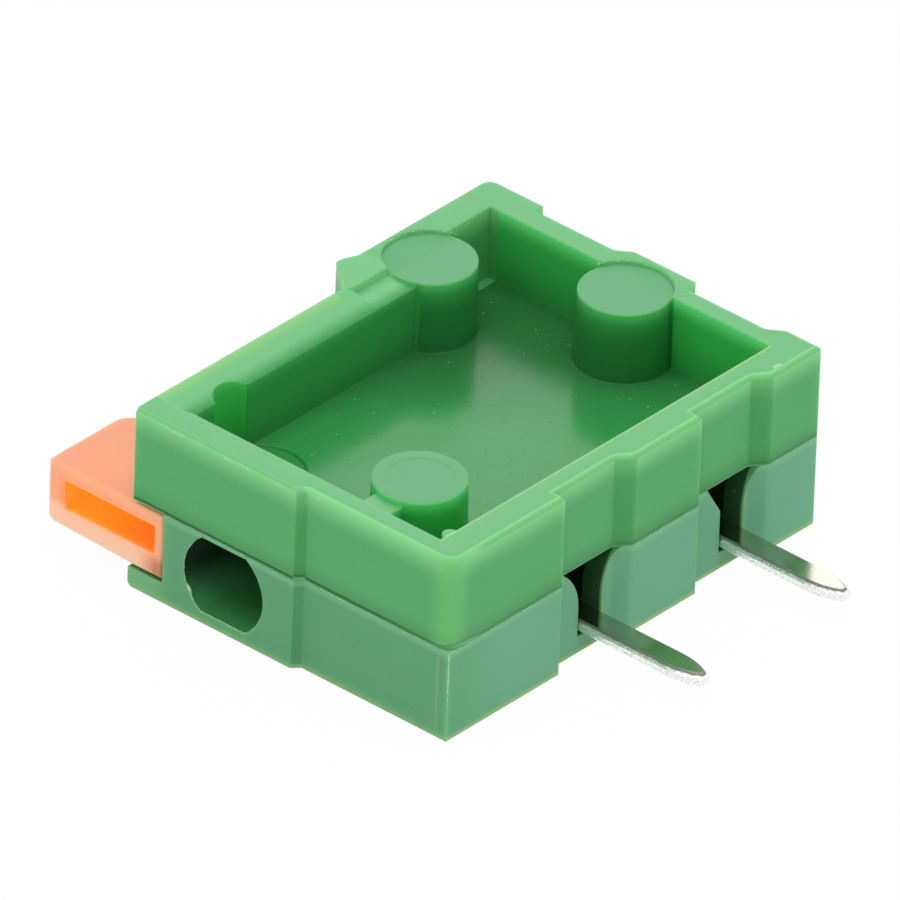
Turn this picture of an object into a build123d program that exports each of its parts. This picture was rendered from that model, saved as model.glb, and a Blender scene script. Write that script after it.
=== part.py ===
"""One pole of a spring terminal block for a printed circuit board.

The pole lies on its closed flat side, as it would on a bench. The origin is the centre of that side.
+Z goes across the pole, +X points from the top of the housing down to the circuit board, and the
wire goes in along +Y, from the wire face at the front to the back. All sizes are in millimetres.
"""

import os
from math import cos, radians, sin, sqrt, tan

from build123d import *

os.makedirs("parts", exist_ok=True)

# Overall housing
body_height = 9.64
body_depth = 13.2
body_thick = 4.95
split_height = 2.43
pin_pitch = 5.0

# Outline of the housing, shared by both mouldings
front_step_place = 0.15
front_step_depth = 0.2
front_step_ramp = 0.2
board_relief_starts = (-2.45, 2.38)
board_relief_length = 2.5
board_relief_depth = 0.3
board_relief_ramp = 0.4
back_relief_starts = (0.93, -3.83)
back_relief_length = 2.85
back_relief_depth = 0.28
back_relief_ramp = 0.4
relief_round = 0.22
rear_rise = 0.7
rear_rise_foot = 0.75
rear_rise_head = 1.35
rear_tab_height = 0.17
rear_tab_width = 0.22
rear_tab_ramp = 0.4
rear_tab_round = 0.15
corner_round = 0.42
rear_corner_round = 0.25

# Cover
web_thick = 0.55
front_wall = 0.74
board_wall = 0.84
back_wall = 0.86
rear_top_wall = 0.8
ledge_width = 1.0
ledge_drop = 0.17
ledge_lip = 0.15
ledge_edge = 0.03
tray_corner_round = 0.05
rim_round = 0.16
boss_radius = 1.18
boss_draft = 1.5
boss_drop = 0.09
boss_recess_margin = 0.03
first_boss_from_top = 0.53
first_boss_from_back = 3.47
second_boss_place = -0.14
second_boss_from_back = 1.28
third_boss_from_board = 3.03
third_boss_from_front = 2.49
dish_radius = 0.84
dish_depth = 0.01
dish_slope = 70.0
boss_rib_width = 0.83
boss_rib_drop = 0.22
corner_rib_radius = 0.2
corner_rib_from_wall = 0.34
groove_from_front = 2.23
groove_width = 1.14
groove_depth = 0.4
floor_pocket_from_top = 1.85
floor_pocket_radius = 1.12
floor_pocket_from_front = 2.32
floor_pocket_depth = 0.06
tongue_drop = 0.09
tongue_inset = 0.04
tongue_length = 0.5
tongue_gap = 0.02

# Press pins between the mouldings, one under each boss
dowel_radius = 0.55
dowel_length = 1.25
dowel_bottom_gap = 0.2
dowel_clearance = 0.01

# Wire funnel
wire_place = 2.84
funnel_floor = 0.28
funnel_bulge = 0.21
funnel_length = 2.2
conductor_bore_radius = 0.85

# Chamber in the shell
chamber_floor = 0.52
top_wall = 0.6
board_side_wall = 0.92
chamber_front = -3.2
chamber_round = 0.25
chamber_play = 0.1
lip_overhang = 0.11
lip_round = 0.15
core_wall = 0.75
core_boss_wall = 0.45
window_sill = 0.96
window_rear = -0.75
sill_depth = 1.5
pocket_floor_drop = 0.62

# Pin slots
slot_width = 0.83
slot_floor = 0.44
flare_start = 1.25
slot_flares = ((0.62, 0.5), (0.51, 0.36))
slot_chamfer_height = 0.81
pin_one_place = -1.05

# Contact stamping
sheet_thick = 0.35
pin_width = 0.77
pin_length = 3.3
pin_tip_width = 0.22
pin_taper_length = 0.95
pin_edge_break = 0.1
strip_end_margin = 0.4
sheet_bend_round = 0.25
contact_gap = 0.03
flange_front = -1.9
flange_rear = 0.6
arm_front = 1.0
arm_rear = 2.3
shelf_drop = 1.92
shelf_front = 0.15
shelf_width = 1.3

# Leaf spring
leaf_thick = 0.2
leaf_span = 4.67
leaf_base_gap = 0.08
bend_radius = 0.9
bend_place = -2.1
leg_angle = 35.0
leaf_tip_gap = 0.03

# Release button
button_base = 0.6
button_rise = 2.65
button_flat = 2.53
button_back_round = 0.5
button_base_round = 0.22
button_base_taper = 0.08
button_edge_round = 0.1
pivot_inset = 0.75
pivot_depth = 0.52
trunnion_radius = 0.33
trunnion_length = 0.32
trunnion_clearance = 0.05
sill_gap = 0.04
keel_rise = 0.18
keel_length = 0.85
window_play = 0.3
hook_thick = 0.42
hook_overlap = 0.7
hook_clearance = 0.03
finger_thick = 0.4
finger_width = 0.5
finger_inset = 0.15
finger_gap = 0.18
pocket_wall = 0.34
pocket_fin_wall = 0.52
pocket_keel_wall = 0.22
pocket_height = 0.81
pocket_depth = 1.1

# Places worked out from the sizes above
x_top = -body_height / 2
x_board = body_height / 2
y_front = -body_depth / 2
y_back = body_depth / 2
y_front_right = y_front + front_step_depth
x_rear = x_top - rear_rise
tray_floor = split_height + web_thick
wire_x = x_top + wire_place
x_ceiling = x_top + top_wall
x_chamber_board = x_board - board_side_wall
x_sill = x_top + window_sill
x_pivot = x_top + pivot_depth
y_pivot = y_front + pivot_inset
plate_top = chamber_floor + sheet_thick
x_shelf = x_top + shelf_drop
x_strip_board = x_chamber_board - contact_gap
x_flange = x_shelf + leaf_span
pin_places = (pin_one_place, pin_one_place + pin_pitch)
y_strip_rear = pin_places[1] + pin_width / 2 + strip_end_margin
button_top = split_height - chamber_play
button_thick = button_top - button_base
tongue_top = split_height - tongue_drop
funnel_half_height = (tongue_top - funnel_floor) / 2
wire_height = funnel_floor + funnel_half_height
funnel_radius = funnel_half_height + funnel_bulge
tongue_width = 2 * sqrt(funnel_radius**2 - funnel_half_height**2) - 2 * tongue_inset
leaf_base = plate_top + leaf_base_gap
leaf_width = split_height - chamber_play - leaf_base
groove_place = y_front + groove_from_front
floor_pocket_place = y_front + floor_pocket_from_front
boss_places = (
    (x_top + first_boss_from_top, y_back - first_boss_from_back),
    (second_boss_place, y_back - second_boss_from_back),
    (x_board - third_boss_from_board, y_front + third_boss_from_front),
)


def relief(start, depth_side, depth, length, ramp):
    """Return the four points of a relief along one face: a sharp step in, a flat and a ramp out.

    start is the distance along the face, depth_side the face's own place, and depth is signed.
    """
    return [
        (start, depth_side),
        (start, depth_side + depth),
        (start + length - ramp, depth_side + depth),
        (start + length, depth_side),
    ]


def board_points():
    """List the board face's points from the front to the back."""
    points = []
    for start in board_relief_starts:
        for along, out in relief(start, x_board, -board_relief_depth, board_relief_length, board_relief_ramp):
            points.append((out, along))
    return points


def back_points():
    """List the back face's points from the board side to the top side."""
    points = []
    for start in back_relief_starts:
        run = relief(start, y_back, -back_relief_depth, back_relief_length, back_relief_ramp)
        points.extend(reversed(run))
    return points


def ramp_points():
    """List the two outline points of every ramp, which are rounded."""
    points = board_points()[2:4] + board_points()[6:8]
    points += back_points()[0:2] + back_points()[4:6]
    return points


def tab_points():
    """List the three points of the tab on the raised rear of the top, from the back to the front."""
    tab_end = rear_rise_head + rear_tab_width
    return [
        (x_rear, tab_end + rear_tab_ramp),
        (x_rear - rear_tab_height, tab_end),
        (x_rear - rear_tab_height, rear_rise_head),
    ]


def housing_points():
    """List the outline of the housing, counterclockwise from the top corner of the wire face."""
    ramp_end = front_step_place + front_step_ramp
    return [
        (x_top, y_front),
        (front_step_place, y_front),
        (ramp_end, y_front_right),
        (x_board, y_front_right),
        *board_points(),
        (x_board, y_back),
        *back_points(),
        (x_rear, y_back),
        *tab_points(),
        (x_top, rear_rise_foot),
    ]


def vertices_at(points):
    """Pick the current sketch's vertices that stand at the given points."""
    near = 0.001
    return [v for v in vertices() if any((Vector(*p) - Vector(v.X, v.Y)).length < near for p in points)]


# Cover: web, walls round an open tray, three bosses, dowels below
with BuildPart() as housing_cover:
    with BuildSketch(Plane.XY.offset(split_height)):
        with BuildLine():
            Polyline(*housing_points(), close=True)
        make_face()
        fillet(vertices_at(ramp_points()), relief_round)
        fillet(vertices_at([(x_board, y_front_right)]), corner_round)
        fillet(vertices_at([(x_rear, y_back)]), rear_corner_round)
        fillet(vertices_at(tab_points()), rear_tab_round)
    extrude(amount=body_thick - split_height)

    x_tray_top = x_top + ledge_width
    x_tray_rear = x_rear + rear_top_wall
    x_tray_board = x_board - board_wall
    y_tray_front = y_front + front_wall
    y_tray_back = y_back - back_wall
    y_first_boss = boss_places[0][1]
    with BuildSketch(Plane.XY.offset(tray_floor)):
        with BuildLine():
            Polyline(
                (x_tray_top, y_tray_front),
                (x_tray_board, y_tray_front),
                (x_tray_board, y_tray_back),
                (x_tray_rear, y_tray_back),
                (x_tray_rear, y_first_boss),
                (x_tray_top, y_first_boss),
                close=True,
            )
        make_face()
        fillet(vertices(), tray_corner_round)
        groove_radius = (groove_depth**2 + (groove_width / 2) ** 2) / (2 * groove_depth)
        with Locations((x_tray_top - groove_depth + groove_radius, groove_place)):
            Circle(groove_radius)
    extrude(amount=body_thick, mode=Mode.SUBTRACT)

    z_ledge = body_thick - ledge_drop
    x_ledge = x_top + ledge_lip
    x_ledge_end = x_tray_top + tray_corner_round
    with BuildSketch(Plane.XZ.offset(-y_tray_front)):
        with BuildLine():
            Polyline(
                (x_top + ledge_edge, body_thick),
                (x_tray_top, z_ledge),
                (x_ledge_end, z_ledge),
                (x_ledge_end, body_thick),
                close=True,
            )
        make_face()
    extrude(amount=y_tray_front - rear_rise_foot, mode=Mode.SUBTRACT)
    with BuildSketch(Plane.XY.offset(z_ledge)):
        with Locations(((x_ledge + x_ledge_end) / 2, (rear_rise_foot + y_first_boss) / 2)):
            Rectangle(x_ledge_end - x_ledge, y_first_boss - rear_rise_foot)
    extrude(amount=ledge_drop, mode=Mode.SUBTRACT)

    rim_edges = edges().filter_by(Plane.XY).group_by(Axis.Z)[-1]
    outer_rim = [e for e in rim_edges if e.center().X > x_tray_board or e.center().Y < y_tray_front]
    fillet([e for e in outer_rim if e.length > corner_round / 2 and e.center().X > x_tray_top], rim_round)

    boss_height = body_thick - boss_drop - tray_floor
    boss_top_radius = boss_radius - boss_height * tan(radians(boss_draft))
    with BuildSketch(Plane.XY.offset(tray_floor)):
        with Locations(*boss_places):
            Circle(boss_radius)
    extrude(amount=boss_height, taper=boss_draft)
    with BuildSketch(Plane.XY.offset(body_thick - boss_drop)):
        with Locations(*boss_places):
            Circle(boss_top_radius + boss_recess_margin)
    extrude(amount=body_thick, mode=Mode.SUBTRACT)
    with BuildSketch(Plane.XY.offset(body_thick - boss_drop)):
        with Locations(boss_places[2]):
            Circle(dish_radius)
    extrude(amount=-dish_depth, taper=dish_slope, mode=Mode.SUBTRACT)

    front_boss_x, front_boss_y = boss_places[2]
    rib_length = front_boss_y - y_tray_front
    with BuildSketch(Plane.XY.offset(tray_floor)):
        with Locations((front_boss_x, front_boss_y - rib_length / 2)):
            Rectangle(boss_rib_width, rib_length)
    extrude(amount=body_thick - boss_rib_drop - tray_floor)
    with BuildSketch(Plane.XY.offset(tray_floor)):
        with Locations((x_tray_board, y_tray_front + corner_rib_from_wall)):
            Circle(corner_rib_radius)
    extrude(amount=body_thick - tray_floor)

    with BuildSketch(Plane.XY.offset(tray_floor - floor_pocket_depth)):
        with Locations((x_top + floor_pocket_from_top, floor_pocket_place)):
            Circle(floor_pocket_radius)
        with Locations(((x_tray_board + x_tray_top) / 2, floor_pocket_place)):
            Rectangle(x_tray_board - x_tray_top, 2 * floor_pocket_radius, mode=Mode.INTERSECT)
    extrude(amount=floor_pocket_depth, mode=Mode.SUBTRACT)

    with BuildSketch(Plane.XY.offset(tongue_top)):
        with Locations((wire_x, y_front + tongue_length / 2)):
            Rectangle(tongue_width, tongue_length)
    extrude(amount=split_height - tongue_top)

    with BuildSketch(Plane.XY.offset(split_height - dowel_length)):
        with Locations(*boss_places):
            Circle(dowel_radius)
    extrude(amount=dowel_length)
    chamfer(faces().sort_by(Axis.Z)[0:3].edges(), dowel_radius / 4)

    with BuildSketch(Plane.XY.offset(split_height)):
        with Locations((x_pivot, y_pivot)):
            Circle(trunnion_radius + trunnion_clearance)
    extrude(amount=button_top + trunnion_length + trunnion_clearance - split_height, mode=Mode.SUBTRACT)

housing_cover.part.label = "housing_cover"
export_step(housing_cover.part, "parts/housing_cover.step")

# Shell: solid moulding cut out for the button, the wire, the chamber and the pins
with BuildPart() as housing_shell:
    with BuildSketch():
        with BuildLine():
            Polyline(*housing_points(), close=True)
        make_face()
        fillet(vertices_at(ramp_points()), relief_round)
        fillet(vertices_at([(x_rear, y_back)]), rear_corner_round)
        fillet(vertices_at(tab_points()), rear_tab_round)
    extrude(amount=split_height)

    y_sill_back = y_front + sill_depth
    x_pocket_floor = x_sill + pocket_floor_drop
    with BuildSketch(Plane.XY.offset(chamber_floor)):
        with BuildLine():
            Polyline(
                (x_rear, y_front),
                (x_sill, y_front),
                (x_sill, y_sill_back),
                (x_pocket_floor, y_sill_back + pocket_floor_drop),
                (x_pocket_floor, window_rear),
                (x_rear, window_rear),
                close=True,
            )
        make_face()
    extrude(amount=split_height, mode=Mode.SUBTRACT)

    with BuildSketch(Plane.XY.offset(chamber_floor)):
        with BuildLine():
            Polyline(
                (x_ceiling, window_rear - chamber_round),
                (x_ceiling, shelf_front),
                (x_shelf - contact_gap, shelf_front),
                (x_shelf - contact_gap, arm_rear + contact_gap),
                (x_flange - contact_gap, arm_rear + contact_gap),
                (x_flange - contact_gap, y_strip_rear + contact_gap),
                (x_chamber_board, y_strip_rear + contact_gap),
                (x_chamber_board, chamber_front),
                (x_pocket_floor, chamber_front),
                (x_pocket_floor, window_rear - chamber_round),
                close=True,
            )
        make_face()
        fillet(vertices_at([(x_chamber_board, chamber_front)]), chamber_round)
    extrude(amount=split_height, mode=Mode.SUBTRACT)

    wire_plane = Plane(origin=(wire_x, y_front, wire_height), x_dir=(1, 0, 0), z_dir=(0, -1, 0))
    with BuildSketch(wire_plane):
        Circle(funnel_radius)
        with Locations((0, funnel_floor - wire_height - body_thick / 2)):
            Rectangle(2 * funnel_radius, body_thick, mode=Mode.SUBTRACT)
        with Locations((0, tongue_top - wire_height + body_thick / 2)):
            Rectangle(2 * funnel_radius, body_thick, mode=Mode.SUBTRACT)
    with BuildSketch(wire_plane.offset(-funnel_length)):
        Circle(conductor_bore_radius)
    loft(mode=Mode.SUBTRACT)
    with BuildSketch(wire_plane.offset(-funnel_length)):
        Circle(conductor_bore_radius)
    extrude(amount=y_front + funnel_length - chamber_front, mode=Mode.SUBTRACT)

    with BuildSketch(Plane.XY.offset(tongue_top - tongue_gap)):
        with Locations((wire_x, y_front + tongue_length / 2)):
            Rectangle(tongue_width + 2 * tongue_gap, tongue_length + 2 * tongue_gap)
    extrude(amount=split_height, mode=Mode.SUBTRACT)

    for pin_place, (front_flare, rear_flare) in zip(pin_places, slot_flares):
        y_slot_front = pin_place - slot_width / 2
        y_slot_rear = pin_place + slot_width / 2
        curved_front = pin_place == pin_places[0]
        front_start = flare_start if curved_front else split_height - slot_chamfer_height
        front_end = (y_slot_front - front_flare, split_height)
        with BuildSketch(Plane.YZ.offset(x_chamber_board)):
            with BuildLine():
                Line((y_slot_front - front_flare, split_height), (y_slot_rear + rear_flare, split_height))
                TangentArc(
                    (y_slot_rear, flare_start), (y_slot_rear + rear_flare, split_height), tangent=(0, 1)
                )
                Polyline(
                    (y_slot_rear, flare_start),
                    (y_slot_rear, slot_floor),
                    (y_slot_front, slot_floor),
                    (y_slot_front, front_start),
                )
                if curved_front:
                    TangentArc((y_slot_front, front_start), front_end, tangent=(0, 1))
                else:
                    Line((y_slot_front, front_start), front_end)
            make_face()
        extrude(amount=2 * board_side_wall, mode=Mode.SUBTRACT)

    with BuildSketch(Plane.XY.offset(split_height - dowel_length - dowel_bottom_gap)):
        with Locations(*boss_places):
            Circle(dowel_radius + dowel_clearance)
    extrude(amount=split_height, mode=Mode.SUBTRACT)

    lip_plane = Plane.XZ.offset(-y_front)
    with BuildSketch(lip_plane):
        with Locations((x_top + lip_round / 2, chamber_floor / 2)):
            Rectangle(lip_round, chamber_floor)
    extrude(amount=y_front - window_rear, mode=Mode.SUBTRACT)
    with BuildSketch(lip_plane):
        with Locations((x_top + (lip_round - lip_overhang) / 2, chamber_floor / 2)):
            Rectangle(lip_overhang + lip_round, chamber_floor)
        fillet(vertices_at([(x_top - lip_overhang, 0)]), lip_round)
    extrude(amount=y_front - window_rear)

    with BuildSketch(Plane.XY.offset(button_base - trunnion_length - trunnion_clearance)):
        with Locations((x_pivot, y_pivot)):
            Circle(trunnion_radius + trunnion_clearance)
    extrude(amount=split_height, mode=Mode.SUBTRACT)

    x_core_front = wire_x + funnel_radius + core_wall
    y_core_front = y_front_right + core_wall
    y_core_front_end = chamber_front - core_wall
    y_core_back = arm_rear + core_wall
    y_core_back_end = y_back - back_relief_depth - core_wall
    x_core_back_end = x_flange - core_wall
    with BuildSketch(Plane.XY.offset(chamber_floor)):
        with Locations(((x_core_front + x_chamber_board) / 2, (y_core_front + y_core_front_end) / 2)):
            Rectangle(x_chamber_board - x_core_front, y_core_front_end - y_core_front)
        with Locations(((x_shelf + x_core_back_end) / 2, (y_core_back + y_core_back_end) / 2)):
            Rectangle(x_core_back_end - x_shelf, y_core_back_end - y_core_back)
        fillet(vertices(), chamber_round)
        with Locations(*boss_places):
            Circle(dowel_radius + core_boss_wall, mode=Mode.SUBTRACT)
    extrude(amount=split_height, mode=Mode.SUBTRACT)

housing_shell.part.label = "housing_shell"
export_step(housing_shell.part, "parts/housing_shell.step")

# Contact: one stamping with a flat strip, two solder pins, an arm, a shelf and a flange bent up
with BuildPart() as contact_frame:
    x_pin_tip = x_board + pin_length
    x_pin_taper = x_pin_tip - pin_taper_length
    with BuildSketch(Plane.XY.offset(chamber_floor)):
        with Locations(((x_flange + sheet_thick + x_strip_board) / 2, (flange_front + y_strip_rear) / 2)):
            Rectangle(x_strip_board - x_flange - sheet_thick, y_strip_rear - flange_front)
        with Locations(((x_shelf + sheet_thick + x_strip_board) / 2, (arm_front + arm_rear) / 2)):
            Rectangle(x_strip_board - x_shelf - sheet_thick, arm_rear - arm_front)
        for pin_place in pin_places:
            with BuildLine():
                Polyline(
                    (x_pin_taper, pin_place - pin_width / 2),
                    (x_strip_board, pin_place - pin_width / 2),
                    (x_strip_board, pin_place + pin_width / 2),
                    (x_pin_taper, pin_place + pin_width / 2),
                )
                TangentArc(
                    (x_pin_taper, pin_place + pin_width / 2), (x_pin_tip, pin_place + pin_tip_width / 2),
                    tangent=(1, 0),
                )
                Line((x_pin_tip, pin_place + pin_tip_width / 2), (x_pin_tip, pin_place - pin_tip_width / 2))
                TangentArc(
                    (x_pin_taper, pin_place - pin_width / 2), (x_pin_tip, pin_place - pin_tip_width / 2),
                    tangent=(1, 0),
                )
            make_face()
    extrude(amount=sheet_thick)

    chamfer([e for e in edges().filter_by(Axis.Z, reverse=True) if e.center().X > x_board], pin_edge_break)

    turned_up = (
        (x_flange, flange_front, flange_rear, leaf_base + leaf_width),
        (x_shelf, shelf_front, arm_rear, chamber_floor + shelf_width),
    )
    for x_face, y_near, y_far, top in turned_up:
        with BuildSketch(Plane.XZ.offset(-y_near)):
            with BuildLine():
                Polyline(
                    (x_face, top),
                    (x_face, chamber_floor),
                    (x_face + 2 * sheet_thick, chamber_floor),
                    (x_face + 2 * sheet_thick, plate_top),
                    (x_face + sheet_thick, plate_top),
                    (x_face + sheet_thick, top),
                    close=True,
                )
            make_face()
            fillet(vertices_at([(x_face, chamber_floor)]), sheet_bend_round)
        extrude(amount=y_near - y_far)

contact_frame.part.label = "contact_frame"
export_step(contact_frame.part, "parts/contact_frame.step")

# Spring: a leaf bent like a V, with its short leg against the flange and its long leg up to the shelf
leg_rise = sin(radians(leg_angle))
leg_run = cos(radians(leg_angle))
x_bend = x_flange - bend_radius
x_leg_start = x_bend - bend_radius * leg_run
y_leg_start = bend_place - bend_radius * leg_rise
leg_length = (x_leg_start - (x_shelf + sheet_thick + leaf_tip_gap)) / leg_rise
with BuildPart() as clamp_spring:
    with BuildSketch(Plane.XY.offset(leaf_base)):
        with BuildLine():
            short_leg = Line((x_flange, flange_rear), (x_flange, bend_place))
            bend = JernArc(short_leg @ 1, short_leg % 1, bend_radius, leg_angle - 180)
            PolarLine(bend @ 1, leg_length, direction=bend % 1)
            offset(amount=leaf_thick, side=Side.RIGHT)
        make_face()
    extrude(amount=leaf_width)

clamp_spring.part.label = "clamp_spring"
export_step(clamp_spring.part, "parts/clamp_spring.step")

# Button: a rocker with a raised fin, a screwdriver pocket, a hook and a finger over the leaf
with BuildPart() as release_button:
    x_fin = x_top - button_rise
    x_keel = x_sill - sill_gap
    x_hook = x_ceiling + hook_clearance
    y_fin_end = y_front + button_flat
    y_foot = window_rear - window_play
    y_hook_end = window_rear + hook_overlap
    with BuildSketch(Plane.XY.offset(button_base)):
        with BuildLine():
            Polyline(
                (x_fin, y_front),
                (x_fin, y_fin_end),
                (x_hook, y_foot),
                (x_hook, y_hook_end),
                (x_hook + hook_thick, y_hook_end),
                (x_hook + hook_thick, y_foot),
                (x_keel - keel_rise, y_pivot + keel_length),
                (x_keel, y_pivot),
                (x_keel, y_front),
                close=True,
            )
        make_face()
        fillet(vertices_at([(x_fin, y_fin_end)]), button_back_round)
    extrude(amount=button_thick)

    z_fin_base = button_base + button_base_taper
    with BuildSketch(Plane.XZ.offset(-y_front)):
        with BuildLine():
            Polyline(
                (x_fin, button_top),
                (x_fin, z_fin_base),
                (x_top, button_base),
                (x_pocket_floor, button_base),
                (x_pocket_floor, button_top),
                close=True,
            )
        make_face()
        fillet(vertices_at([(x_fin, z_fin_base)]), button_base_round)
    extrude(amount=y_front - y_hook_end, mode=Mode.INTERSECT)
    fillet(faces().sort_by(Axis.Y)[0].edges(), button_edge_round)

    y_finger = y_hook_end - finger_inset - finger_width / 2
    leg_x_at_finger = x_leg_start - (y_finger - y_leg_start) * leg_rise / leg_run
    x_finger_tip = leg_x_at_finger - finger_gap / leg_run
    with BuildSketch(Plane.XY.offset(button_top - finger_thick)):
        with Locations(((x_hook + x_finger_tip) / 2, y_finger)):
            Rectangle(x_finger_tip - x_hook, finger_width)
        fillet(vertices().group_by(Axis.X)[-1], finger_width / 2.2)
    extrude(amount=finger_thick)

    pocket_plane = Plane(origin=(0, y_front, 0), x_dir=(1, 0, 0), z_dir=(0, -1, 0))
    with BuildSketch(pocket_plane):
        x_pocket = x_fin + pocket_fin_wall
        x_pocket_end = x_keel - pocket_keel_wall
        with Locations(((x_pocket + x_pocket_end) / 2, button_top - pocket_wall - pocket_height / 2)):
            Rectangle(x_pocket_end - x_pocket, pocket_height)
    extrude(amount=-pocket_depth, mode=Mode.SUBTRACT)

    for z_trunnion in (button_base - trunnion_length, button_top - pocket_wall):
        with BuildSketch(Plane.XY.offset(z_trunnion)):
            with Locations((x_pivot, y_pivot)):
                Circle(trunnion_radius)
        extrude(amount=trunnion_length + pocket_wall)

release_button.part.label = "release_button"
export_step(release_button.part, "parts/release_button.step")
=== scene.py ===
# %% [markdown]
# # A spring terminal block for a circuit board, seen from its open side
#
# This is one pole of a terminal block: two green mouldings pressed together, an orange release button,
# a tin-plated contact with two solder pins, and a leaf spring inside. The solids come from the CAD model,
# and this script gives them their finishes, adds the thin flash that the moulding tool leaves, and sets
# up the studio.
#
# The shapes could also be rebuilt here by hand, but then they could drift away from the CAD. Loading the
# packed model keeps every place and size, so a finish or a sliver of flash goes exactly where it belongs.

import math

import bpy
import numpy as np
from mathutils import Matrix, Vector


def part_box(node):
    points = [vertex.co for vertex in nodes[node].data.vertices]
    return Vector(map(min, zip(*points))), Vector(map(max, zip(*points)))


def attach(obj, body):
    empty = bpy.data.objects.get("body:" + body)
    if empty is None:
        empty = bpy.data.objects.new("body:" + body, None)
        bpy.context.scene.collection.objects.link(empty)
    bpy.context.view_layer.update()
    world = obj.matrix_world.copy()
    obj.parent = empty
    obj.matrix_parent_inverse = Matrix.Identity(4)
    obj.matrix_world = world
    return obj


MM = 0.001
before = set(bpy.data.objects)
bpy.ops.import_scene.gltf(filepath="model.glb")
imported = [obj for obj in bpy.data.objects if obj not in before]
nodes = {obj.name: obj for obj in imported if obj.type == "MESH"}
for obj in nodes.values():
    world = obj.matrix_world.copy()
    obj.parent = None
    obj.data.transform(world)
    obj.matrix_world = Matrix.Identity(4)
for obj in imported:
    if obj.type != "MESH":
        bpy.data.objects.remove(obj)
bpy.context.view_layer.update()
print("CAD nodes:", sorted(nodes))

# %% [markdown]
# ## The camera
#
# The photograph shows hardly any perspective: edges that are parallel on the block stay parallel in the
# picture. So it was taken from far away through a long lens. An orthographic camera could copy that, but a
# real lens a long way off keeps the last trace of depth, so the camera here stands 0.7 m away with a
# 1200 mm lens. It leans by two degrees, as the block does in the photograph.

# %% Place the camera
AZIMUTH, ELEVATION, ROLL = (math.radians(a) for a in (40.304, 32.775, 2.179))
LENS = 1200.0
SENSOR = 36.0
PIXELS_PER_MM = 42.824
PICTURE_WIDTH = 900
aim = np.array([-0.860, 0.053, 2.5]) * MM

distance = LENS / SENSOR * PICTURE_WIDTH / PIXELS_PER_MM * MM
back = np.array([
    math.sin(AZIMUTH) * math.cos(ELEVATION),
    -math.cos(AZIMUTH) * math.cos(ELEVATION),
    math.sin(ELEVATION),
])
level = np.cross(-back, [0.0, 0.0, 1.0])
level /= np.linalg.norm(level)
upright = np.cross(level, -back)
right = level * math.cos(ROLL) + upright * math.sin(ROLL)
up = upright * math.cos(ROLL) - level * math.sin(ROLL)

camera = bpy.data.objects.new("camera", bpy.data.cameras.new("camera"))
camera.data.lens = LENS
camera.data.sensor_width = SENSOR
camera.data.clip_start = 0.01
camera.data.clip_end = 5.0
turn = np.eye(4)
turn[:3, 0], turn[:3, 1], turn[:3, 2] = right, up, back
turn[:3, 3] = aim + back * distance
camera.matrix_world = Matrix(turn.tolist())
bpy.context.scene.collection.objects.link(camera)
bpy.context.scene.camera = camera
bpy.context.scene.view_settings.view_transform = "Standard"
print("camera stands", round(distance, 4), "m from its aim")

# %% [markdown]
# ## Shader maths as arithmetic
#
# A finish is a sum of small effects: a tint, a little dust, a fine skin, a softer edge. In the shader
# editor each sum and product is a node of its own, and in a script that takes many lines. Here one small
# class stands for a socket, and Python's own signs add the Math nodes. A second class holds one material
# and adds any other node: its settings first, then the values or links of its sockets.

# %% A socket that can be added, multiplied and compared
class Signal:
    """One output socket of a shader node. Arithmetic on it adds Math nodes to the same material."""

    def __init__(self, finish, socket):
        self.finish = finish
        self.socket = socket

    def maths(self, operation, first, second):
        return self.finish.node("ShaderNodeMath", {"operation": operation}, {0: first, 1: second})

    def __add__(self, other):
        return self.maths("ADD", self, other)

    def __sub__(self, other):
        return self.maths("SUBTRACT", self, other)

    def __rsub__(self, other):
        return self.maths("SUBTRACT", other, self)

    def __mul__(self, other):
        return self.maths("MULTIPLY", self, other)

    def __gt__(self, other):
        return self.maths("GREATER_THAN", self, other)

    def __lt__(self, other):
        return self.maths("LESS_THAN", self, other)

    __radd__ = __add__
    __rmul__ = __mul__

    def rise(self, low, high):
        """0 below low, 1 above high, and a smooth curve between them."""
        ends = {"Value": self, "From Min": low, "From Max": high}
        return self.finish.node("ShaderNodeMapRange", {"interpolation_type": "SMOOTHSTEP"}, ends)

    def between(self, low, high, soft):
        """1 from low to high, and 0 farther than the soft width outside them."""
        return self.rise(low - soft, low) * (1 - self.rise(high, high + soft))


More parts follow.
